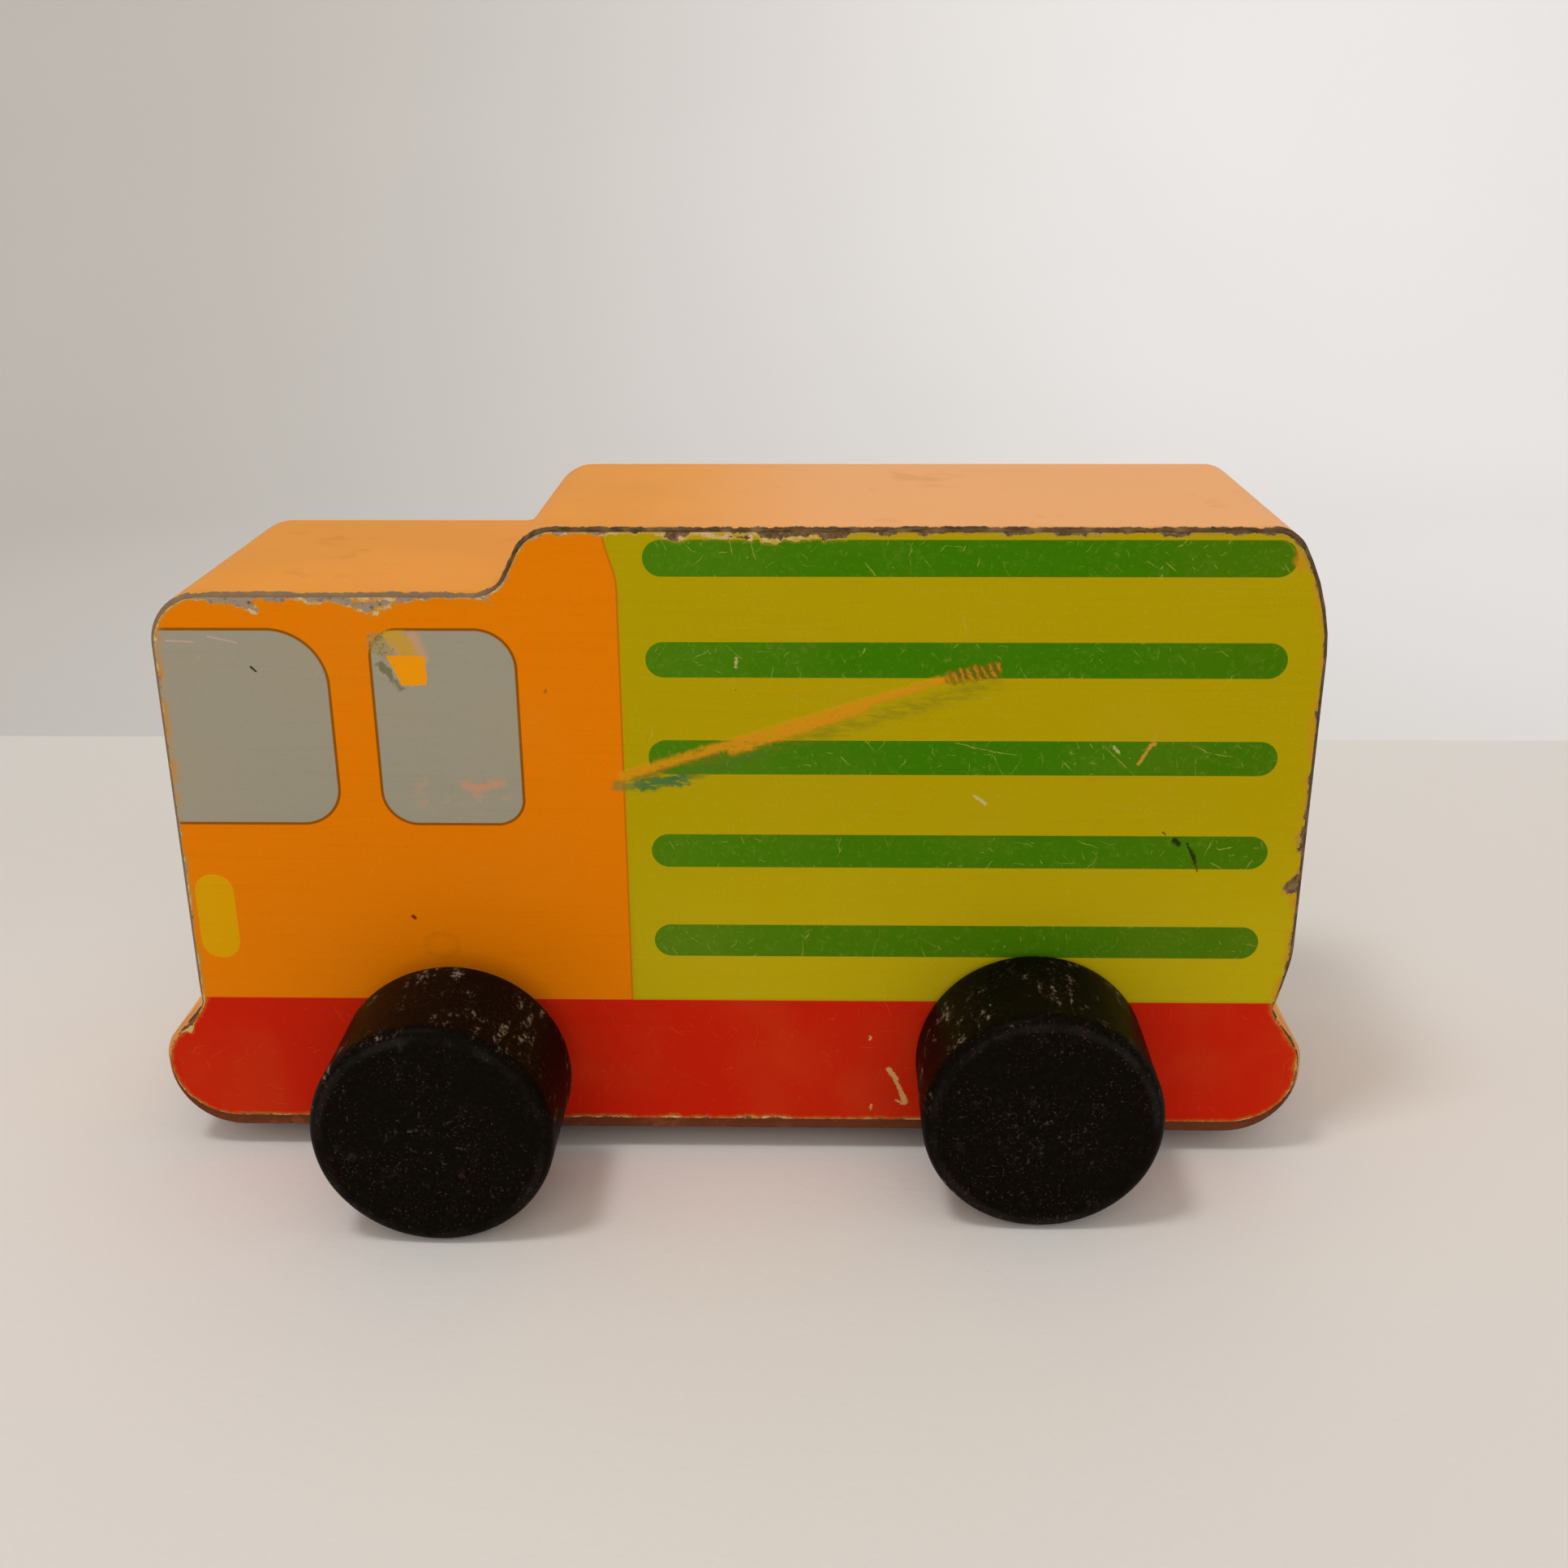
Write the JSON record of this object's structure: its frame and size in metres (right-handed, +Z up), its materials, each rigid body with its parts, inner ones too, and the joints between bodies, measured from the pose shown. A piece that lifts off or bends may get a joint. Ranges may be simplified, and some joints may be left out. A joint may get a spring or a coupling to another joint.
{
  "type": "push along truck",
  "caption": "Wooden push along toy truck: a sawn block body with printed sides on two free-running wheelsets.",
  "frame": {"origin": "on the ground under the middle of the truck's bounding box", "axes": "+X towards the rear of the truck, -X towards the cab, -Y towards its left side, +Z up"},
  "size_m": [0.1324, 0.0748, 0.075],
  "materials": {
    "body_paint": "fibreboard block, light orange satin paint, worn to bare board along the edges",
    "side_print": "printed and varnished paper sheet: orange cab, lime box with green stripes, red chassis",
    "dowel_wood": "bare turned dowel",
    "wheel_paint": "solid wooden disc in satin black paint, scuffed"
  },
  "bodies": {
    "body": {"body_block": "body_paint", "left_side_print": "side_print", "right_side_print": "side_print"},
    "front_wheelset": {"front_axle": "dowel_wood", "front_left_wheel": "wheel_paint", "front_right_wheel": "wheel_paint"},
    "rear_wheelset": {"rear_axle": "dowel_wood", "rear_left_wheel": "wheel_paint", "rear_right_wheel": "wheel_paint"}
  },
  "joints": [
    {"name": "front_roll", "type": "hinge", "parent": "body", "child": "front_wheelset", "pos_m": [-0.031, 0, 0.0132], "axis": [0, 1, 0], "continuous": true},
    {"name": "rear_roll", "type": "hinge", "parent": "body", "child": "rear_wheelset", "pos_m": [0.0346, 0, 0.0132], "axis": [0, 1, 0], "continuous": true}
  ]
}
